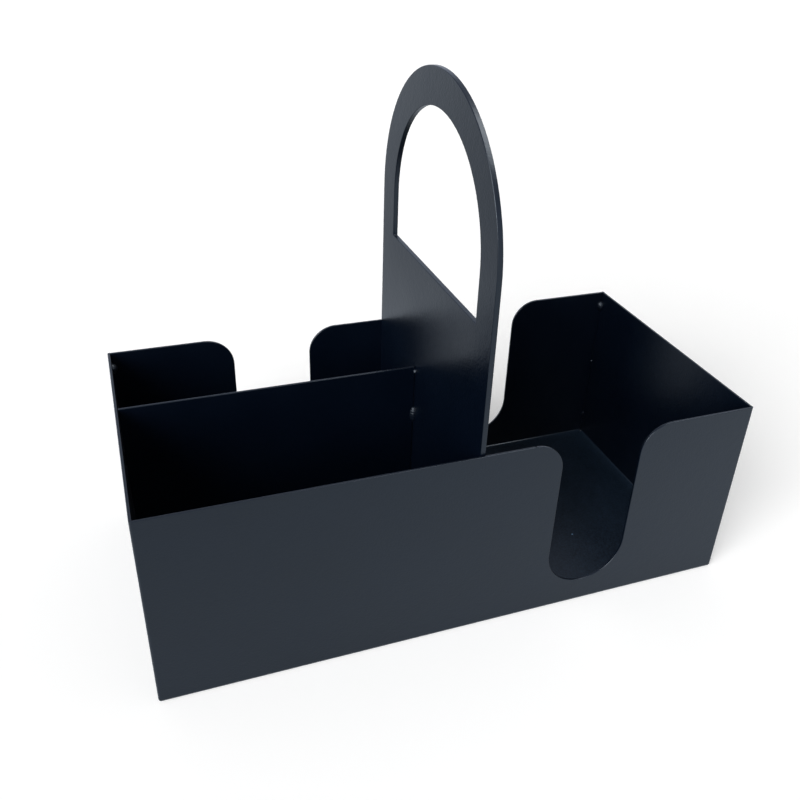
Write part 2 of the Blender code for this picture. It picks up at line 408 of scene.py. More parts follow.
def new_form_tree(name, inputs):
    """A geometry tree that also takes a material and puts out one form."""
    inputs = {**inputs, "Material": "NodeSocketMaterial"}
    return new_tree(name, "GeometryNodeTree", inputs, {"Form": "NodeSocketGeometry"})


def close_tree(wires, form, given, result):
    """Ends a geometry tree: instances made real and the material set."""
    real = wires.form("RealizeInstances", {"Geometry": form})
    wires.feed(result[0], wires.form("SetMaterial", {"Geometry": real, "Material": given["Material"]}))


def grow(name, tree, values, base=None):
    """Runs a geometry tree, its inputs set by name, and keeps the result as a plain mesh."""
    item = add_object(name, base or bpy.data.meshes.new(name))
    change = item.modifiers.new(tree.name, "NODES")
    change.node_group = tree
    for socket in tree.interface.items_tree:
        if socket.in_out == "INPUT" and socket.name in values:
            change[socket.identifier] = values[socket.name]
    return settle(item)


def corner_at(across, along):
    """The stretch of an outline that is one point."""
    return (1, across, along, 0.0, 0.0, 0.0)


def outline(wires, stretches):
    """A closed flat outline. Each stretch is an arc, as (points, middle across, middle along, radius,
    start, sweep), or a corner. Angles are in radians, and any value may be a socket."""
    index = wires.form("InputIndex")
    place = None
    first = 0
    for points, across, along, radius, start, sweep in stretches:
        part = wires.over(wires.minus(index, float(first)), float(max(points - 1, 1)))
        turn = wires.plus(start, wires.times(sweep, part))
        x = wires.plus(across, wires.times(radius, wires.math("COSINE", turn)))
        y = wires.plus(along, wires.times(radius, wires.math("SINE", turn)))
        here = wires.vector(x, y)
        if place is None:
            place = here
        else:
            reached = wires.math("GREATER_THAN", index, first - 0.5)
            inputs = {"Switch": reached, "False": place, "True": here}
            place = wires.form("Switch", inputs, input_type="VECTOR")
        first += points
    line = wires.form("MeshLine", {"Count": first})
    placed = wires.form("SetPosition", {"Geometry": line, "Position": place})
    curve = wires.form("MeshToCurve", {"Mesh": placed})
    return wires.form("SetSplineCyclic", {"Geometry": curve, "Cyclic": True})


def cut_sheet(wires, outlines, thickness):
    """A flat cut sheet, closed on all sides. The first outline is the outer one, the others are holes."""
    fill = wires.form("FillCurve", {"Curve": wires.joined(reversed(outlines))}, mode="TRIANGLES")
    low = wires.scaled(wires.vector(z=wires.times(thickness, 0.5)), -1.0)
    base = wires.form("SetPosition", {"Geometry": fill, "Offset": low})
    inputs = {"Mesh": base, "Offset": wires.vector(z=thickness), "Offset Scale": 1.0, "Individual": False}
    walls = wires.form("ExtrudeMesh", inputs)
    under = wires.form("FlipFaces", {"Mesh": base})
    whole = wires.joined([under, walls])
    return wires.form("MergeByDistance", {"Geometry": whole, "Distance": merge_distance})


# Powder coat

skin_name = "powder_coat_skin"
coat_starts = {"tray": 0.0, "handle": 11.0, "divider": 22.0, "seams": 31.0, "welds": 40.0}
noise_middle = 0.5
noise_gain = 4.0
swell_widths = 4.0
swell_share = 0.8
# The film near the table: painted light on faces that look up, in grains, and a painted highlight band
# along the walls' feet, with real specks of dust
dust_and_painted_lift_share = 0.35
dust_and_painted_lift_contrast = 3.0
dust_and_painted_lift_tilt_power = 3.0
painted_wall_highlight_reach = 0.0035
painted_wall_highlight_share = 1.2
speck_share = 0.22
speck_whiteness = 30.0


def dust_and_painted_light_amount(wires, given, coordinates, humps, clouds):
    """How much dust and painted light a face gets: what faces up near the table is painted lighter, as
    light from above would make it, in grains and patches; a painted highlight runs in a band along the
    walls' feet; and a real speck of dust lies here and there."""
    upwards = wires.parts(coordinates["Normal"])["Z"]
    across, depth, height = wires.parts(coordinates["Object"])
    is_low = wires.math("LESS_THAN", height, given["Dust and Painted Lift Top"])
    # Painted light: faces that look up near the table are painted lighter, as light from above would make
    # them; the real specks lie only there too
    lies = wires.times(wires.math("POWER", wires.at_least_zero(upwards), dust_and_painted_lift_tilt_power), is_low)
    grains = wires.times_plus(humps, dust_and_painted_lift_contrast, dust_and_painted_lift_share - dust_and_painted_lift_contrast * noise_middle)
    patches = wires.at_least_zero(wires.plus(grains, clouds))
    # Painted highlight: a lighter band along the walls' feet, where the bends would catch light
    off_end = wires.minus(inner_half_length, wires.math("ABSOLUTE", across))
    off_side = wires.minus(inner_half_depth, wires.math("ABSOLUTE", depth))
    off_wall = wires.at_least_zero(wires.math("MINIMUM", off_end, off_side))
    painted_wall_highlight = wires.math("EXPONENT", wires.over(off_wall, -painted_wall_highlight_reach))
    patches = wires.times_plus(painted_wall_highlight, painted_wall_highlight_share, patches)
    inputs = {"Vector": coordinates["Object"], "Scale": wires.over(1.0, given["Speck Spacing"])}
    cells = wires.node("ShaderNodeTexVoronoi", inputs, voronoi_dimensions="2D").outputs
    reach = wires.over(given["Speck Radius"], given["Speck Spacing"])
    is_chosen = wires.math("GREATER_THAN", wires.parts(cells["Color"])["X"], 1 - speck_share)
    speck = wires.times(wires.math("LESS_THAN", cells["Distance"], reach), is_chosen)
    return wires.times(lies, wires.times_plus(speck, speck_whiteness, patches))


def coat_skin_group(inputs):
    """The skin that all sheets and welds share: the fine humps of the fused powder, slow changes of tone
    and gloss, real specks of dust, and painted light near the table on faces that look up and along the
    walls' feet."""
    outputs = {"Colour": "NodeSocketColor", "Roughness": "NodeSocketFloat", "Height": "NodeSocketFloat"}
    tree, wires, given, result = new_tree(skin_name, "ShaderNodeTree", inputs, outputs)
    coordinates = wires.node("ShaderNodeTexCoord").outputs

    def noise(width, detail, roughness):
        scale = wires.over(1.0, width)
        return wires.noise(given["Start"], scale, detail, roughness, Vector=coordinates["Object"])

    humps = noise(given["Grain Width"], detail=1.0, roughness=0.45)
    swells = noise(wires.times(given["Grain Width"], swell_widths), detail=1.0, roughness=0.5)
    clouds = noise(given["Cloud Width"], detail=2.0, roughness=0.5)
    centred = wires.minus(clouds, noise_middle)
    tone = wires.times_plus(centred, wires.times(given["Tone Change"], noise_gain), 1.0)
    toned = wires.scaled(given["Colour"], tone)
    gloss_change = wires.times(given["Roughness Change"], noise_gain)
    # Real specks of dust and painted light, added to the coat's colour
    dust = wires.scaled(given["Dust"], dust_and_painted_light_amount(wires, given, coordinates, humps, clouds))
    toned_with_dust_and_painted_light = wires.node("ShaderNodeVectorMath", {0: toned, 1: dust}, operation="ADD").outputs[0]
    wires.feed(result["Colour"], toned_with_dust_and_painted_light)
    wires.feed(result["Roughness"], wires.times_plus(centred, gloss_change, given["Roughness"]))
    wires.feed(result["Height"], wires.plus(humps, wires.times(swells, swell_share)))
    return tree


def coat_material(name, start, depth_share=1.0, roughness_share=1.0):
    """One piece's powder coat: the shared skin with the piece's own start, so that no two are alike."""
    coat = bpy.context.scene.caddy.coat
    material, wires, principled = new_material(name)
    surface = principled.inputs
    inputs = {
        "Colour": (*coat.colour, 1.0),
        "Roughness": coat.roughness * roughness_share,
        "Grain Width": coat.grain_width,
        "Cloud Width": coat.cloud_width,
        "Tone Change": coat.tone_change,
        "Roughness Change": coat.roughness_change,
        "Start": start,
        "Dust": (*coat.dust, 1.0),
        "Dust and Painted Lift Top": coat.dust_and_painted_lift_top,
        "Speck Spacing": coat.speck_spacing,
        "Speck Radius": coat.speck_radius,
    }
    group = bpy.data.node_groups.get(skin_name) or coat_skin_group(inputs)
    skin = wires.node("ShaderNodeGroup", inputs, node_tree=group).outputs
    inputs = {"Strength": 1.0, "Distance": coat.grain_depth * depth_share, "Height": skin["Height"]}
    relief = wires.node("ShaderNodeBump", inputs).outputs
    wires.feed(surface["Base Color"], skin["Colour"])
    wires.feed(surface["Roughness"], skin["Roughness"])
    wires.feed(surface["Normal"], relief["Normal"])
    surface["IOR"].default_value = coat.refraction
    surface["Specular Tint"].default_value = (*coat.sheen_tint, 1.0)
    return material


# Folded tray


def folded_box(radius):
    """The tray's outer form: a box whose four bottom edges are rounded to the bend radius."""
    shape = bmesh.new()
    add_box(shape, Vector((-half_length, -half_depth, 0)), Vector((half_length, half_depth, tray_height)))
    bottom = [edge for edge in shape.edges if all(end.co.z < merge_distance for end in edge.verts)]
    bmesh.ops.bevel(shape, geom=bottom, offset=radius, segments=bend_steps, profile=0.5, affect="EDGES")
    return shape


def grip_cutter_tree(values):
    """U outlines, thickened and laid on the points that are given: half a circle below, straight sides,
    and lips that flare into the rim."""
    inputs = {"Places": "NodeSocketGeometry", **values}
    tree, wires, given, result = new_form_tree("grip_cutters", inputs)
    half_width = wires.times(given["Width"], 0.5)
    lip = given["Lip Radius"]
    lip_middle = wires.plus(half_width, lip)
    left_lip_middle = wires.times(lip_middle, -1.0)
    lip_height = wires.minus(given["Rim Height"], lip)
    above = wires.plus(given["Rim Height"], overrun)
    bowl_height = wires.plus(given["Sill Height"], half_width)
    lip_points = grip_arc_steps // 2
    stretches = [
        corner_at(left_lip_middle, above),
        (lip_points, left_lip_middle, lip_height, lip, quarter_turn, -quarter_turn),
        (grip_arc_steps + 1, 0.0, bowl_height, half_width, math.pi, math.pi),
        (lip_points, lip_middle, lip_height, lip, math.pi, -quarter_turn),
        corner_at(lip_middle, above),
    ]
    blank = cut_sheet(wires, [outline(wires, stretches)], given["Thickness"])
    upright = wires.form("Transform", {"Geometry": blank, "Rotation": (quarter_turn, 0, 0)})
    laid = wires.form("InstanceOnPoints", {"Points": given["Places"], "Instance": upright})
    close_tree(wires, laid, given, result)
    return tree


def corner_cutters(sizes):
    """Everything that is open at the tray's corners: the slits between the bends, the voids that the seams
    fill, and the holes where the bend lines cross."""
    slits, columns, reliefs = bmesh.new(), bmesh.new(), bmesh.new()
    top = tray_height + overrun
    slit_low = Vector((0, -sizes.mitre_width / 2, -overrun))
    slit_high = Vector((2 * sizes.bend_radius + overrun, sizes.mitre_width / 2, top))
    for sign_x, sign_y in corner_signs.values():
        near = (sign_x * inner_half_length, sign_y * inner_half_depth, -overrun)
        far = (sign_x * (half_length + overrun), sign_y * (half_depth + overrun), top)
        add_box(columns, Vector(map(min, near, far)), Vector(map(max, near, far)))
        crossing_x = sign_x * (half_length - sizes.bend_radius)
        crossing_y = sign_y * (half_depth - sizes.bend_radius)
        crossing = Matrix.Translation((crossing_x, crossing_y, 0))
        outwards = crossing @ Matrix.Rotation(math.atan2(sign_y, sign_x), 4, "Z")
        slit = add_box(slits, slit_low, slit_high)
        bmesh.ops.transform(slits, matrix=outwards, verts=slit)
        bmesh.ops.create_cone(
            reliefs,
            cap_ends=True,
            segments=grip_arc_steps,
            radius1=sizes.relief_radius,
            radius2=sizes.relief_radius,
            depth=2 * (sheet + overrun),
            matrix=crossing,
        )
    cutters = {"corner_slits": slits, "corner_columns": columns, "corner_reliefs": reliefs}
    return [add_object(name, mesh_from(name, shape)) for name, shape in cutters.items()]


def is_rim_or_grip(start, end):
    """Whether an edge of the tray is cut, and not a bend or the line where two walls meet."""
    corner_x = inner_half_length - merge_distance
    corner_y = inner_half_depth - merge_distance
    at_corner = all(abs(point.x) > corner_x and abs(point.y) > corner_y for point in (start, end))
    upright = abs(start.z - end.z) > merge_distance
    above_bends = min(start.z, end.z) > bpy.context.scene.caddy.tray.grip_sill_height / 2
    return above_bends and not (at_corner and upright)


def make_tray():
    sizes = bpy.context.scene.caddy.tray
    shape = folded_box(sizes.bend_radius)
    rim = tray_height - merge_distance
    top = [face for face in shape.faces if all(corner.co.z > rim for corner in face.verts)]
    bmesh.ops.delete(shape, geom=top, context="FACES_ONLY")
    tray = add_object("tray_shell", mesh_from("tray_shell", shape))
    wall = tray.modifiers.new("sheet_thickness", "SOLIDIFY")
    wall.thickness = sheet
    wall.offset = -1
    wall.use_even_offset = True

    right = plate_low.x + sizes.grip_reach
    left = plate_low.x - sizes.grip_reach
    wall_middle = half_depth - sheet / 2
    places = [(right, -wall_middle, 0), (right, wall_middle, 0), (left, wall_middle, 0)]
    values = {
        "Width": sizes.grip_width,
        "Sill Height": sizes.grip_sill_height,
        "Lip Radius": sizes.grip_lip_radius,
        "Rim Height": tray_height,
        "Thickness": sheet + 2 * overrun,
    }
    grips = grow("grip_cutters", grip_cutter_tree(values), values, points_mesh("grip_places", places))
    cut_with(tray, grips)
    settle(tray)
    round_edges(tray, sizes.rim_round, is_rim_or_grip)
    cutters = corner_cutters(sizes)
    for cutter in cutters:
        cut_with(tray, cutter)
    hairlines = tray.modifiers.new("closed_hairlines", "WELD")
    hairlines.merge_threshold = merge_distance
    settle(tray)
    for cutter in (grips, *cutters):
        bpy.data.objects.remove(cutter)
    even_shading(tray)
    finish_piece(tray, coat_material("tray_coat", coat_starts["tray"]), "tray_coat", "folded_tray")


# Corner seams

seam_rings = 160
seam_foot_rings = 24
seam_section_points = 17
seam_wave_scale = 90.0
seam_wave_top = 0.62
seam_wave_gain = 2.0
seam_depth_share = 1.3


def seam_tree(values):
    """One corner seam: a quarter round that runs up the corner, drawn in at its foot as the bends are, and
    a little uneven, as a weld ground by hand is."""
    inputs = {**values, "Seed": 0.0, "Place": "NodeSocketVector", "Turn": "NodeSocketRotation"}
    tree, wires, given, result = new_form_tree("corner_seam", inputs)
    bend = given["Bend Radius"]
    index = wires.form("InputIndex")
    # The foot's rings follow the bend by equal turns, up from where the bend crosses the inner corner line
    reach = wires.minus(bend, given["Radius"])
    lowest = wires.math("ARCSINE", wires.over(reach, bend))
    part = wires.math("MINIMUM", wires.over(index, float(seam_foot_rings)), 1.0)
    turn = wires.times_plus(part, wires.minus(quarter_turn, lowest), lowest)
    foot_height = wires.minus(bend, wires.times(bend, wires.math("COSINE", turn)))
    above = wires.at_least_zero(wires.minus(index, float(seam_foot_rings)))
    step = wires.over(wires.minus(given["Height"], bend), float(seam_rings - seam_foot_rings))
    height = wires.times_plus(above, step, foot_height)
    line = wires.form("MeshLine", {"Count": seam_rings + 1})
    path = wires.form("SetPosition", {"Geometry": line, "Position": wires.vector(z=height)})
    curve = wires.form("MeshToCurve", {"Mesh": path})
    # Each ring's leg: the wall's thickness, less what the bend takes off its outside
    fall = wires.at_least_zero(wires.minus(bend, wires.parts(wires.form("InputPosition"))["Z"]))
    squares = wires.minus(wires.times(bend, bend), wires.times(fall, fall))
    leg = wires.minus(wires.math("SQRT", wires.at_least_zero(squares)), reach)
    leg = wires.math("MAXIMUM", leg, merge_distance)
    wobble = wires.noise(given["Seed"], seam_wave_scale, detail=2.0, roughness=0.5)
    wave = wires.times(given["Wave"], seam_wave_gain)
    drift = wires.times(wires.minus(wobble, seam_wave_top), wave)
    # The section: a quarter disc, its corner on the walls' inner corner line
    arc = (seam_section_points, 0.0, 0.0, 1.0, 0.0, quarter_turn)
    section = outline(wires, [corner_at(0.0, 0.0), arc])
    inputs = {"Curve": curve, "Profile Curve": section, "Scale": wires.plus(leg, drift), "Fill Caps": True}
    swept = wires.form("CurveToMesh", inputs)
    inputs = {"Geometry": swept, "Translation": given["Place"], "Rotation": given["Turn"]}
    close_tree(wires, wires.form("Transform", inputs), given, result)
    return tree


def make_seams():
    caddy = bpy.context.scene.caddy
    values = {
        "Radius": sheet,
        "Bend Radius": caddy.tray.bend_radius,
        "Height": tray_height,
        "Wave": caddy.welds.seam_wave,
    }
    tree = seam_tree(values)
    material = coat_material("seam_coat", coat_starts["seams"], depth_share=seam_depth_share)
    for number, (corner, (sign_x, sign_y)) in enumerate(corner_signs.items()):
        values["Seed"] = float(number)
        values["Place"] = (sign_x * inner_half_length, sign_y * inner_half_depth, 0)
        values["Turn"] = (0, 0, math.atan2(sign_y, sign_x) - quarter_turn / 2)
        seam = grow("ground_seam_" + corner, tree, values)
        even_shading(seam)
        finish_piece(seam, material, "seam_coat", "corner_seam_" + corner)


# Handle plate

plate_depth_share = 1.6


def handle_tree(values):
    """The cross plate, cut in one with its arch and the window over its flat sill."""
    tree, wires, given, result = new_form_tree("handle_plate", values)
    half = given["Half Width"]
    foot = given["Foot Height"]
    arch_height = wires.minus(given["Height"], half)
    window_half = wires.minus(half, given["Band Width"])
    sill = wires.minus(arch_height, given["Window Side Height"])
    inset = wires.minus(half, given["Foot Corner"])
    above_corner = wires.plus(foot, given["Foot Corner"])
    outside = [
        corner_at(wires.times(inset, -1.0), foot),
        corner_at(inset, foot),
        corner_at(half, above_corner),
        (arc_steps + 1, 0.0, arch_height, half, 0.0, math.pi),
        corner_at(wires.times(half, -1.0), above_corner),
    ]
    window = [
        corner_at(wires.times(window_half, -1.0), sill),
        corner_at(window_half, sill),
        (arc_steps + 1, 0.0, arch_height, window_half, 0.0, math.pi),
    ]
    flat = cut_sheet(wires, [outline(wires, outside), outline(wires, window)], given["Thickness"])
    place = wires.vector(x=given["Middle"])
    inputs = {"Geometry": flat, "Translation": place, "Rotation": (quarter_turn, 0, quarter_turn)}
    close_tree(wires, wires.form("Transform", inputs), given, result)
    return tree


def make_handle_plate():
    caddy = bpy.context.scene.caddy
    values = {
        "Half Width": plate_high.y,
        "Foot Height": plate_low.z,
        "Foot Corner": caddy.tray.bend_radius,
        "Height": plate_high.z,
        "Band Width": caddy.handle.band_width,
        "Window Side Height": caddy.handle.window_side_height,
        "Thickness": plate_thickness,
        "Middle": (plate_low.x + plate_high.x) / 2,
    }
    plate = grow("arched_handle_plate", handle_tree(values), values)
    round_edges(plate, caddy.handle.edge_round, every_edge)
    settle(plate)
    even_shading(plate)
    material = coat_material("handle_coat", coat_starts["handle"], depth_share=plate_depth_share)
    finish_piece(plate, material, "handle_coat", "handle_plate")


# Long divider


def make_divider():
    caddy = bpy.context.scene.caddy
    cut = caddy.tray.bend_radius
    corners = [
        (divider_low.x + cut, divider_low.z),
        (divider_high.x, divider_low.z),
        (divider_high.x, divider_high.z),
        (divider_low.x, divider_high.z),
        (divider_low.x, divider_low.z + cut),
    ]
    # Built face by face: an extrusion would order the faces differently from run to run
    shape = bmesh.new()
    front = [shape.verts.new((x, divider_low.y, z)) for x, z in corners]
    back = [shape.verts.new((x, divider_high.y, z)) for x, z in corners]
    shape.faces.new(front)
    shape.faces.new(back)
    for i in range(len(corners)):
        shape.faces.new((front[i - 1], front[i], back[i], back[i - 1]))
    divider = add_object("long_divider_sheet", mesh_from("long_divider_sheet", shape))
    round_edges(divider, caddy.tray.rim_round, every_edge)
    settle(divider)
    even_shading(divider)
    material = coat_material("divider_coat", coat_starts["divider"])
    finish_piece(divider, material, "divider_coat", "long_divider")


# Welds

weld_rings = 36
weld_ripples = 6
weld_end_share = 0.98
section_points = 21
section_start = 0.117
section_middle_share = -0.12
section_radius_share = 1.03
least_weld_share = 0.92
most_weld_share = 1.08
weld_lump_scale = 700.0
weld_depth_share = 1.5
weld_roughness_share = 1.35
rim_tack_share = 1.35
low_tack_share = 0.42
divider_tack_share = 0.6
tack_ripple_share = 0.0
stitch_ripple_share = 0.08


def weld_tree(values):
    """Weld nuggets, each laid in the angle of two faces: a fillet swept along the joint, swollen in the
    middle, rippled where the puddle froze, and closed at both ends."""
    inputs = {"Places": "NodeSocketGeometry", **values}
    tree, wires, given, result = new_form_tree("weld_nuggets", inputs)
    start = wires.vector(z=wires.times(given["Length"], -0.5))
    end = wires.vector(z=wires.times(given["Length"], 0.5))
    line = wires.form("CurvePrimitiveLine", {"Start": start, "End": end})
    path = wires.form("ResampleCurve", {"Curve": line, "Count": weld_rings})
    along = wires.node("GeometryNodeSplineParameter").outputs["Factor"]
    off_middle = wires.times_plus(along, 2 * weld_end_share, -weld_end_share)
    dome = wires.math("SQRT", wires.minus(1.0, wires.times(off_middle, off_middle)))
    wave = wires.math("ABSOLUTE", wires.math("SINE", wires.times(along, weld_ripples * math.pi)))
    rippled = wires.times_plus(wave, given["Ripple"], 1.0)
    scale = wires.times(given["Radius"], wires.times(dome, rippled))
    # The section: a flattened quarter round between the two faces
    sweep = quarter_turn - 2 * section_start
    middle = section_middle_share
    arc = (section_points, middle, middle, section_radius_share, section_start, sweep)
    section = outline(wires, [corner_at(0.0, 0.0), arc])
    inputs = {"Curve": path, "Profile Curve": section, "Scale": scale, "Fill Caps": True}
    nugget = wires.form("CurveToMesh", inputs)
    turns = wires.form("InputNamedAttribute", {"Name": "turn"}, data_type="FLOAT_VECTOR")
    turn = wires.node("FunctionNodeEulerToRotation", {0: turns}).outputs[0]
    # A random number's inputs 2 and 3 and its output 1 are its least, its most and its value
    inputs = {2: least_weld_share, 3: most_weld_share, "Seed": given["Seed"]}
    chance = wires.node("FunctionNodeRandomValue", inputs, data_type="FLOAT").outputs[1]
    planned = wires.form("InputNamedAttribute", {"Name": "size"}, data_type="FLOAT")
    size = wires.times(chance, planned)
    inputs = {"Points": given["Places"], "Instance": nugget, "Rotation": turn, "Scale": size}
    real = wires.form("RealizeInstances", {"Geometry": wires.form("InstanceOnPoints", inputs)})
    lumps = wires.noise(given["Seed"], weld_lump_scale, detail=1.0, roughness=0.5)
    stray = wires.times(wires.minus(lumps, noise_middle), given["Unevenness"])
    offset = wires.scaled(wires.form("InputNormal"), stray)
    close_tree(wires, wires.form("SetPosition", {"Geometry": real, "Offset": offset}), given, result)
    return tree


def weld_places(name, welds):
    """A mesh of points with each weld's turn and size, from (place, first, second, size): the joint's
    line runs square to both faces."""
    mesh = points_mesh(name, [place for place, first, second, size in welds])
    mesh.attributes.new("turn", "FLOAT_VECTOR", "POINT")
    mesh.attributes.new("size", "FLOAT", "POINT")
    turns = mesh.attributes["turn"].data
    sizes = mesh.attributes["size"].data
    for number, (place, first, second, size) in enumerate(welds):
        turns[number].vector = Matrix((first, second, first.cross(second))).transposed().to_euler()
        sizes[number].value = size
    return mesh


def node_middle(node):
    low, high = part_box(node)
    return (low + high) / 2


def tacks():
    """Each tack's node, with its place on the joint, the faces that it lies between and its size."""
    welds = {}
    for corner, (sign_x, sign_y) in corner_signs.items():
        for level in ("low", "middle", "top"):
            node = f"corner_tack_{corner}_{level}"
            place = Vector((sign_x * inner_half_length, sign_y * inner_half_depth, node_middle(node).z))
            size = rim_tack_share if level == "top" else low_tack_share
            welds[node] = (place, -sign_x * RIGHT, -sign_y * BACK, size)
    node = "divider_tack_plate_top"
    place = Vector((plate_low.x, divider_low.y, node_middle(node).z))
    welds[node] = (place, -RIGHT, -BACK, divider_tack_share)
    return welds


def stitches():
    """Each stitch's node, with its place on the joint, the faces that it lies between and its size."""
    welds = {}
    for level in ("low", "high"):
        sides = {
            f"plate_stitch_front_{level}": (plate_high.x, -inner_half_depth, RIGHT, BACK),
            f"plate_stitch_back_{level}": (plate_high.x, inner_half_depth, RIGHT, -BACK),
            f"divider_stitch_plate_{level}": (plate_low.x, divider_low.y, -RIGHT, -BACK),
            f"divider_stitch_wall_{level}": (-inner_half_length, divider_high.y, RIGHT, BACK),
        }
        for node, (x, y, first, second) in sides.items():
            welds[node] = (Vector((x, y, node_middle(node).z)), first, second, 1.0)
    for side in ("front", "back"):
        node = f"plate_stitch_foot_{side}"
        welds[node] = (Vector((plate_high.x, node_middle(node).y, sheet)), RIGHT, UP, 1.0)
    for side in ("left", "right"):
        node = f"divider_stitch_foot_{side}"
        welds[node] = (Vector((node_middle(node).x, divider_high.y, sheet)), BACK, UP, 1.0)
    return welds


def lay_welds(name, welds, radius, length, ripple_share, seed):
    values = {
        "Radius": radius,
        "Length": length,
        "Ripple": ripple_share,
        "Unevenness": bpy.context.scene.caddy.welds.unevenness,
        "Seed": seed,
    }
    tree = bpy.data.node_groups.get("weld_nuggets") or weld_tree(values)
    item = grow(name, tree, values, weld_places(name + "_places", list(welds.values())))
    item.data.shade_smooth()
    start = coat_starts["welds"] + seed
    material = coat_material(name + "_coat", start, weld_depth_share, weld_roughness_share)
    finish_piece(item, material, "weld_coat", *welds)


def make_tacks():
    own = bpy.context.scene.caddy.welds
    lay_welds("weld_tacks", tacks(), own.tack_radius, own.tack_length, tack_ripple_share, own.seed)


def make_stitches():
    own = bpy.context.scene.caddy.welds
    length = own.stitch_length
    lay_welds("weld_stitches", stitches(), own.stitch_radius, length, stitch_ripple_share, own.seed + 1)


# Stage

# Sines of the heights in the sky at which the mirrored room stops being low, is high, and has its own tint
room_low_end = 0.3
room_high_start = 0.6
room_tint_start = 0.4
key_direction = (-0.68, -0.50, 0.45)
card_direction = (0.42, -0.12, 0.90)
sensor_width = 36.0
white = (1.0, 1.0, 1.0)


def mirrored(wires, rays):
    """1 for rays that gloss and glass send on, 0 for the rest."""
    return wires.math("MAXIMUM", rays["Is Glossy Ray"], rays["Is Transmission Ray"])


def mixed(wires, share, first, second):
    """A colour between two, each a plain one or another node's output."""
    made = wires.node("ShaderNodeMix", {"Factor": share}, data_type="RGBA")
    # The node's inputs 6 and 7 and its output 2 are its colours
    for socket, colour in ((made.inputs[6], first), (made.inputs[7], second)):
        wires.feed(socket, colour if isinstance(colour, bpy.types.NodeSocket) else (*colour, 1.0))
    return made.outputs[2]


def beyond(wires, place, low, high):
    """How far a place lies outside a stretch."""
    middle = (low + high) / 2
    off_middle = wires.math("ABSOLUTE", wires.minus(place, middle))
    return wires.at_least_zero(wires.minus(off_middle, high - middle))


def mirrored_floor(wires, stage):
    """How bright the coat mirrors the floor: by depth, by side, and darker at the tray's foot and in its
    shadow."""
    place = wires.parts(wires.node("ShaderNodeTexCoord").outputs["Object"])
    across = place["X"]
    depth = place["Y"]
    depths = tuple(stage.mirror_depths)
    shares = tuple(stage.mirror_shares)
    level = shares[0]
    for start, end, share, next_share in zip(depths, depths[1:], shares, shares[1:]):
        level = wires.plus(level, wires.ramp(depth, start, end, 0.0, next_share - share))
    slope_end = stage.mirror_slope_end
    slope = stage.mirror_slope / 2
    sides = wires.ramp(across, -slope_end, slope_end, 1 - slope, 1 + slope)
    reach_right, reach_behind = stage.shade_reach
    beside = beyond(wires, across, -half_length, half_length + reach_right)
    before = beyond(wires, depth, -half_depth, half_depth + reach_behind)
    squares = wires.plus(wires.times(beside, beside), wires.times(before, before))
    fall = wires.math("EXPONENT", wires.over(wires.math("SQRT", squares), -stage.shade_edge))
    shade = wires.ramp(depth, -half_depth, half_depth, stage.shade_front, stage.shade_behind)
    unshaded = wires.minus(1.0, wires.times(fall, shade))
    return wires.times(wires.times(level, sides), unshaded)


def floor_material(stage):
    """A matt pale floor. The camera sees it a little whiter than its light makes it. The coat mirrors it as
    a plain sheet of light, brighter in front of the caddy than behind it."""
    material, wires, principled = new_material("pale_floor")
    tone = stage.floor_tone
    principled.inputs["Base Color"].default_value = (tone, tone, tone, 1.0)
    principled.inputs["Roughness"].default_value = 1.0
    principled.inputs["Specular IOR Level"].default_value = 0.0
    rays = wires.node("ShaderNodeLightPath").outputs
    seen = wires.times(rays["Is Camera Ray"], stage.floor_glow)
    glow = wires.node("ShaderNodeEmission", {"Color": (*white, 1.0), "Strength": seen}).outputs[0]
    lit = wires.node("ShaderNodeAddShader", {0: principled.outputs[0], 1: glow}).outputs[0]
    inputs = {"Color": (*stage.mirror_tint, 1.0), "Strength": mirrored_floor(wires, stage)}
    sheet_of_light = wires.node("ShaderNodeEmission", inputs).outputs[0]
    whole = wires.node("ShaderNodeMixShader", {0: mirrored(wires, rays), 1: lit, 2: sheet_of_light})
    wires.feed(material.node_tree.nodes["Material Output"].inputs["Surface"], whole.outputs[0])
    return material


def make_floor(stage):
    shape = bmesh.new()
    bmesh.ops.create_grid(shape, x_segments=1, y_segments=1, size=stage.floor_width / 2)
    floor = add_object("floor", mesh_from("floor", shape))
    floor.data.materials.append(floor_material(stage))


def make_sky(stage):
    """A pale room: white to the camera, cool and dimmer overhead to gloss and glass, and dimmer still as
    light."""
    sky = bpy.data.worlds.new("pale_room")
    sky.use_nodes = True
    wires = Wires(sky.node_tree)
    rays = wires.node("ShaderNodeLightPath").outputs
    upwards = wires.parts(wires.node("ShaderNodeTexCoord").outputs["Object"])["Z"]
    level = wires.ramp(upwards, room_low_end, room_high_start, stage.room_low, stage.room_high)
    overhead = wires.ramp(upwards, 0.0, room_tint_start, 0.0, 1.0)
    room = wires.scaled(mixed(wires, overhead, stage.mirror_tint, stage.room_tint), level)
    light = [stage.sky_strength] * 3
    colour = mixed(wires, rays["Is Camera Ray"], light, white)
    background = sky.node_tree.nodes["Background"]
    wires.feed(background.inputs["Color"], mixed(wires, mirrored(wires, rays), colour, room))
    bpy.context.scene.world = sky


def aim_lamp(item, direction, distance):
    """Stands a lamp in a direction from the caddy, facing it."""
    towards = Vector(direction).normalized()
    item.location = towards * distance
    item.rotation_euler = towards.to_track_quat("Z", "Y").to_euler()


def make_lamps(stage):
    key = bpy.data.lights.new("key_lamp", "SUN")
    key.energy = stage.key_strength
    key.angle = stage.key_spread
    aim_lamp(add_object("key_lamp", key), key_direction, stage.card_distance)
    card = bpy.data.lights.new("gloss_card", "AREA")
    card.shape = "SQUARE"
    card.size = stage.card_width
    card.energy = stage.card_power
    card_object = add_object("gloss_card", card)
    card_object.visible_diffuse = False
    aim_lamp(card_object, card_direction, stage.card_distance)


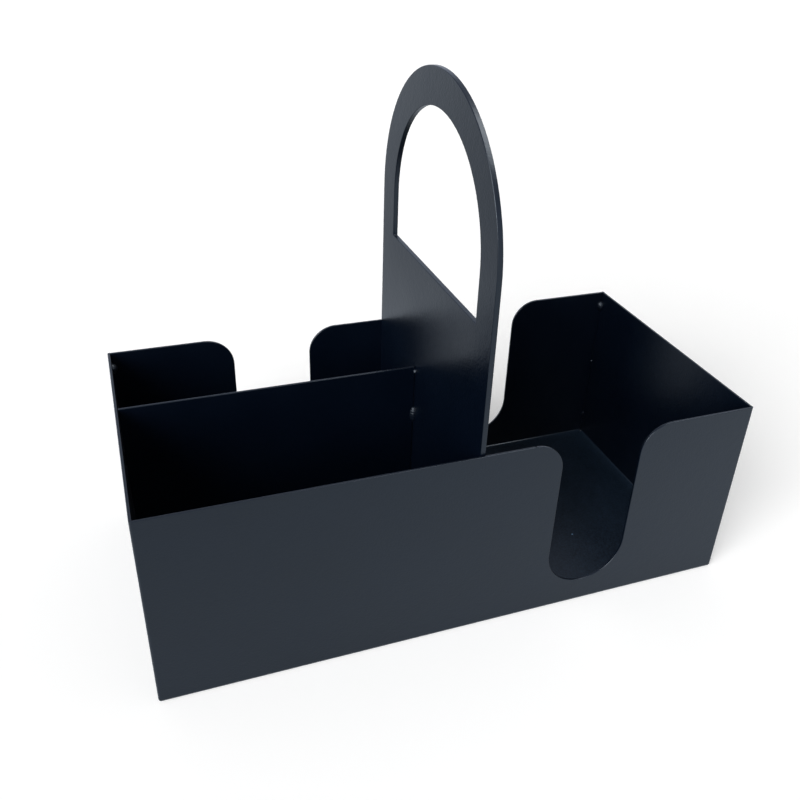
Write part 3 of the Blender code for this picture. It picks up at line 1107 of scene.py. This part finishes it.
def make_camera(stage):
    lens = bpy.data.cameras.new("camera")
    lens.sensor_width = sensor_width
    lens.lens = stage.focal_length
    lens.shift_x, lens.shift_y = stage.shift
    camera = add_object("camera", lens)
    place = Vector(stage.camera_place)
    level = (place - Vector(stage.camera_aim)).to_track_quat("Z", "Y").to_matrix().to_4x4()
    camera.matrix_world = Matrix.Translation(place) @ level @ Matrix.Rotation(stage.camera_roll, 4, "Z")
    bpy.context.scene.camera = camera


def make_stage():
    stage = bpy.context.scene.caddy.stage
    make_floor(stage)
    make_sky(stage)
    make_lamps(stage)
    make_camera(stage)
    bpy.context.scene.view_settings.view_transform = "Standard"


# The add-on's operators and panel


class CADDY_OT_make_tray(bpy.types.Operator):
    """Makes the folded tray: an open box of sheet with rounded bends and three U-shaped cut-outs"""

    bl_idname = "caddy.make_tray"
    bl_label = "Folded Tray"

    def execute(self, context):
        make_tray()
        return {"FINISHED"}


class CADDY_OT_make_seams(bpy.types.Operator):
    """Makes the four upright corner seams, welded and ground to a quarter round"""

    bl_idname = "caddy.make_seams"
    bl_label = "Corner Seams"

    def execute(self, context):
        make_seams()
        return {"FINISHED"}


class CADDY_OT_make_handle_plate(bpy.types.Operator):
    """Makes the cross plate with its arched handle"""

    bl_idname = "caddy.make_handle_plate"
    bl_label = "Handle Plate"

    def execute(self, context):
        make_handle_plate()
        return {"FINISHED"}


class CADDY_OT_make_divider(bpy.types.Operator):
    """Makes the long divider of the left half"""

    bl_idname = "caddy.make_divider"
    bl_label = "Long Divider"

    def execute(self, context):
        make_divider()
        return {"FINISHED"}


class CADDY_OT_make_tacks(bpy.types.Operator):
    """Lays the round weld tacks in the corners and at the divider's end"""

    bl_idname = "caddy.make_tacks"
    bl_label = "Weld Tacks"

    def execute(self, context):
        make_tacks()
        return {"FINISHED"}


class CADDY_OT_make_stitches(bpy.types.Operator):
    """Lays the weld stitches of the handle plate and the divider"""

    bl_idname = "caddy.make_stitches"
    bl_label = "Weld Stitches"

    def execute(self, context):
        make_stitches()
        return {"FINISHED"}


class CADDY_OT_make_stage(bpy.types.Operator):
    """Makes the floor, the light and the camera"""

    bl_idname = "caddy.make_stage"
    bl_label = "Stage"

    def execute(self, context):
        make_stage()
        return {"FINISHED"}


class CADDY_PT_pieces(bpy.types.Panel):
    """Lists the caddy's pieces and their sizes"""

    bl_idname = "CADDY_PT_pieces"
    bl_label = "Handled Table Caddy"
    bl_space_type = "VIEW_3D"
    bl_region_type = "UI"
    bl_category = "Caddy"

    def draw(self, context):
        caddy = context.scene.caddy
        for title, group, makers in (
            ("Tray", caddy.tray, (CADDY_OT_make_tray, CADDY_OT_make_seams, CADDY_OT_make_divider)),
            ("Handle", caddy.handle, (CADDY_OT_make_handle_plate,)),
            ("Welds", caddy.welds, (CADDY_OT_make_tacks, CADDY_OT_make_stitches)),
            ("Coat", caddy.coat, ()),
            ("Stage", caddy.stage, (CADDY_OT_make_stage,)),
        ):
            box = self.layout.box()
            box.label(text=title)
            for name in group.__annotations__:
                box.prop(group, name)
            for maker in makers:
                box.operator(maker.bl_idname)


classes = (
    CaddyTraySizes,
    CaddyHandleSizes,
    CaddyWeldSizes,
    CaddyCoat,
    CaddyStageSizes,
    CaddySettings,
    CADDY_OT_make_tray,
    CADDY_OT_make_seams,
    CADDY_OT_make_handle_plate,
    CADDY_OT_make_divider,
    CADDY_OT_make_tacks,
    CADDY_OT_make_stitches,
    CADDY_OT_make_stage,
    CADDY_PT_pieces,
)


def register():
    for item in classes:
        bpy.utils.register_class(item)
    bpy.types.Scene.caddy = PointerProperty(type=CaddySettings)


def unregister():
    del bpy.types.Scene.caddy
    for item in reversed(classes):
        bpy.utils.unregister_class(item)


def main():
    register()
    bpy.ops.caddy.make_tray()
    bpy.ops.caddy.make_seams()
    bpy.ops.caddy.make_handle_plate()
    bpy.ops.caddy.make_divider()
    bpy.ops.caddy.make_tacks()
    bpy.ops.caddy.make_stitches()
    bpy.ops.caddy.make_stage()


if __name__ == "__main__":
    main()
